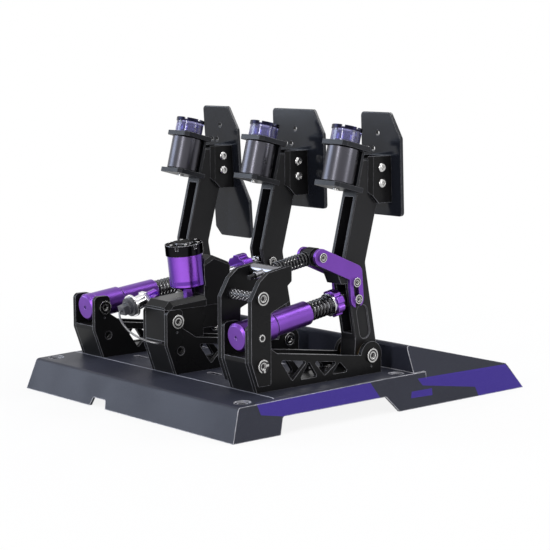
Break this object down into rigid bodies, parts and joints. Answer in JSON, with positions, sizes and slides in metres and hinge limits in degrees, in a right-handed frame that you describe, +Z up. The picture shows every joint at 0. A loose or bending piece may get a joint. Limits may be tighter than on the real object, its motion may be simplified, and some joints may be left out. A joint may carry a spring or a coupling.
{
  "type": "sim racing pedal set",
  "caption": "Pedal set for driving simulation: clutch, brake and throttle with dampers, springs, hydraulic brake unit and vibration motors on a bent sheet tray with a heel ramp",
  "frame": {"origin": "on the ground under the middle of the tray", "axes": "+X to the driver's right, +Y away from the driver along the tray's length, +Z up"},
  "size_m": [0.332, 0.382, 0.2821],
  "materials": {
    "tray_coat": "fine textured matt powder coat",
    "black_anodised": "satin black anodised",
    "purple_anodised": "satin purple anodised",
    "bright_steel": "machined, satin",
    "black_steel": "black oxide",
    "bright_chrome": "polished",
    "bush_metal": "plain bearing metal",
    "motor_case": "satin black",
    "smoke_violet": "clear tinted",
    "purple_cup": "tinted, semi-gloss",
    "black_plastic": "moulded",
    "lead_jacket": "matt"
  },
  "bodies": {
    "base": {"base_tray": "tray_coat", "frame_screws": "bright_steel", "pivot_shafts": "bright_steel", "pivot_bushes": "bush_metal", "trunnion_pins": "bright_steel", "base_blocks": "black_anodised", "clutch_side_plates": "black_anodised", "brake_side_plates": "black_anodised", "throttle_side_plates": "black_anodised", "brake_block": "black_anodised", "brake_cover": "black_anodised", "brake_reservoir": "purple_cup", "brake_reservoir_cap": "black_plastic", "brake_fittings": "purple_anodised", "brake_sensor": "bright_chrome", "brake_sensor_connector": "black_plastic", "brake_sensor_lead": "lead_jacket", "clutch_tower_plates": "black_anodised", "clutch_cross_bar": "black_steel"},
    "clutch_pedal": {"clutch_arm": "black_anodised", "clutch_pad": "black_anodised", "clutch_pad_bracket": "black_anodised", "clutch_arm_screws": "bright_steel", "clutch_haptic_bracket": "black_anodised", "clutch_haptic_motor": "motor_case", "clutch_haptic_cap": "smoke_violet", "clutch_link_core": "black_anodised", "clutch_link_plates": "purple_anodised"},
    "clutch_weight": {"clutch_haptic_rotor": "bright_steel"},
    "brake_pedal": {"brake_arm": "black_anodised", "brake_pad": "black_anodised", "brake_pad_bracket": "black_anodised", "brake_arm_screws": "bright_steel", "brake_haptic_bracket": "black_anodised", "brake_haptic_motor": "motor_case", "brake_haptic_cap": "smoke_violet"},
    "brake_weight": {"brake_haptic_rotor": "bright_steel"},
    "throttle_pedal": {"throttle_arm": "black_anodised", "throttle_pad": "black_anodised", "throttle_pad_bracket": "black_anodised", "throttle_arm_screws": "bright_steel", "throttle_haptic_bracket": "black_anodised", "throttle_haptic_motor": "motor_case", "throttle_haptic_cap": "smoke_violet"},
    "throttle_weight": {"throttle_haptic_rotor": "bright_steel"},
    "clutch_damper": {"clutch_damper_body": "purple_anodised", "clutch_damper_spring": "black_steel"},
    "clutch_rod": {"clutch_damper_rod": "black_steel", "clutch_damper_clevis": "bright_steel"},
    "clutch_nut": {"clutch_preload_nut": "purple_anodised"},
    "throttle_damper": {"throttle_damper_body": "purple_anodised", "throttle_damper_spring": "black_steel"},
    "throttle_rod": {"throttle_damper_rod": "black_steel", "throttle_damper_clevis": "bright_steel"},
    "throttle_nut": {"throttle_preload_nut": "purple_anodised"},
    "clutch_trunnion": {"clutch_guide_trunnion": "bright_steel", "clutch_toggle_spring": "black_steel"},
    "clutch_toggle": {"clutch_toggle_rod": "black_steel"},
    "brake_push": {"brake_push_rod": "black_steel"},
    "brake_knob": {"brake_preload_knob": "purple_anodised"}
  },
  "joints": [
    {"name": "clutch_press", "type": "hinge", "parent": "base", "child": "clutch_pedal", "pos_m": [-0.115, -0.007, 0.051], "axis": [-1, 0, 0], "range_deg": [0, 12], "stiffness_Nm_per_rad": 50, "springref_deg": -4.01},
    {"name": "brake_press", "type": "hinge", "parent": "base", "child": "brake_pedal", "pos_m": [0.005, -0.007, 0.051], "axis": [-1, 0, 0], "range_deg": [0, 5], "stiffness_Nm_per_rad": 250, "springref_deg": -1.72},
    {"name": "throttle_press", "type": "hinge", "parent": "base", "child": "throttle_pedal", "pos_m": [0.125, -0.007, 0.051], "axis": [-1, 0, 0], "range_deg": [0, 14], "stiffness_Nm_per_rad": 20, "springref_deg": -4.58},
    {"name": "clutch_damper_swing", "type": "hinge", "parent": "base", "child": "clutch_damper", "pos_m": [-0.115, 0.135, 0.0843], "axis": [1, 0, 0], "range_deg": [0, 0.8549]},
    {"name": "clutch_rod_slide", "type": "slide", "parent": "clutch_damper", "child": "clutch_rod", "axis": [0, 0.9861, -0.1659], "range_m": [0, 0.01177], "deforming": ["clutch_damper_spring"]},
    {"name": "clutch_nut_turn", "type": "hinge", "parent": "clutch_rod", "child": "clutch_nut", "pos_m": [-0.115, 0.006, 0.106], "axis": [0, 0.9861, -0.1659], "continuous": true},
    {"name": "throttle_damper_swing", "type": "hinge", "parent": "base", "child": "throttle_damper", "pos_m": [0.125, 0.135, 0.0843], "axis": [1, 0, 0], "range_deg": [0, 1.46]},
    {"name": "throttle_rod_slide", "type": "slide", "parent": "throttle_damper", "child": "throttle_rod", "axis": [0, 0.9936, -0.1132], "range_m": [0, 0.01181], "deforming": ["throttle_damper_spring"]},
    {"name": "throttle_nut_turn", "type": "hinge", "parent": "throttle_rod", "child": "throttle_nut", "pos_m": [0.125, 0.006, 0.099], "axis": [0, 0.9936, -0.1132], "continuous": true},
    {"name": "clutch_trunnion_swing", "type": "hinge", "parent": "base", "child": "clutch_trunnion", "pos_m": [-0.115, 0.108, 0.14], "axis": [1, 0, 0], "range_deg": [0, 15.41]},
    {"name": "clutch_toggle_slide", "type": "slide", "parent": "clutch_trunnion", "child": "clutch_toggle", "axis": [0, 0.9859, -0.1673], "range_m": [0, 0.02042], "deforming": ["clutch_toggle_spring"]},
    {"name": "brake_push_slide", "type": "slide", "parent": "base", "child": "brake_push", "axis": [0, 0.988, -0.1541], "range_m": [0, 0.00715]},
    {"name": "brake_knob_turn", "type": "hinge", "parent": "brake_push", "child": "brake_knob", "pos_m": [0.005, 0.008, 0.131], "axis": [0, 0.988, -0.1541], "continuous": true},
    {"name": "clutch_weight_spin", "type": "hinge", "parent": "clutch_pedal", "child": "clutch_weight", "pos_m": [-0.115, 0.01034, 0.25738], "axis": [0, -0.2474, 0.9689], "continuous": true},
    {"name": "brake_weight_spin", "type": "hinge", "parent": "brake_pedal", "child": "brake_weight", "pos_m": [0.005, 0.01034, 0.25738], "axis": [0, -0.2474, 0.9689], "continuous": true},
    {"name": "throttle_weight_spin", "type": "hinge", "parent": "throttle_pedal", "child": "throttle_weight", "pos_m": [0.125, 0.01034, 0.25738], "axis": [0, -0.2474, 0.9689], "continuous": true}
  ],
  "couplings": [
    {"joint": "clutch_damper_swing", "follows": "clutch_press", "ratio": 0.07054},
    {"joint": "clutch_rod_slide", "follows": "clutch_press", "m_per_rad": 0.055628},
    {"joint": "throttle_damper_swing", "follows": "throttle_press", "ratio": 0.10305},
    {"joint": "throttle_rod_slide", "follows": "throttle_press", "m_per_rad": 0.047866},
    {"joint": "clutch_trunnion_swing", "follows": "clutch_press", "ratio": 1.2714},
    {"joint": "clutch_toggle_slide", "follows": "clutch_press", "m_per_rad": 0.096512},
    {"joint": "brake_push_slide", "follows": "brake_press", "m_per_rad": 0.081121}
  ]
}
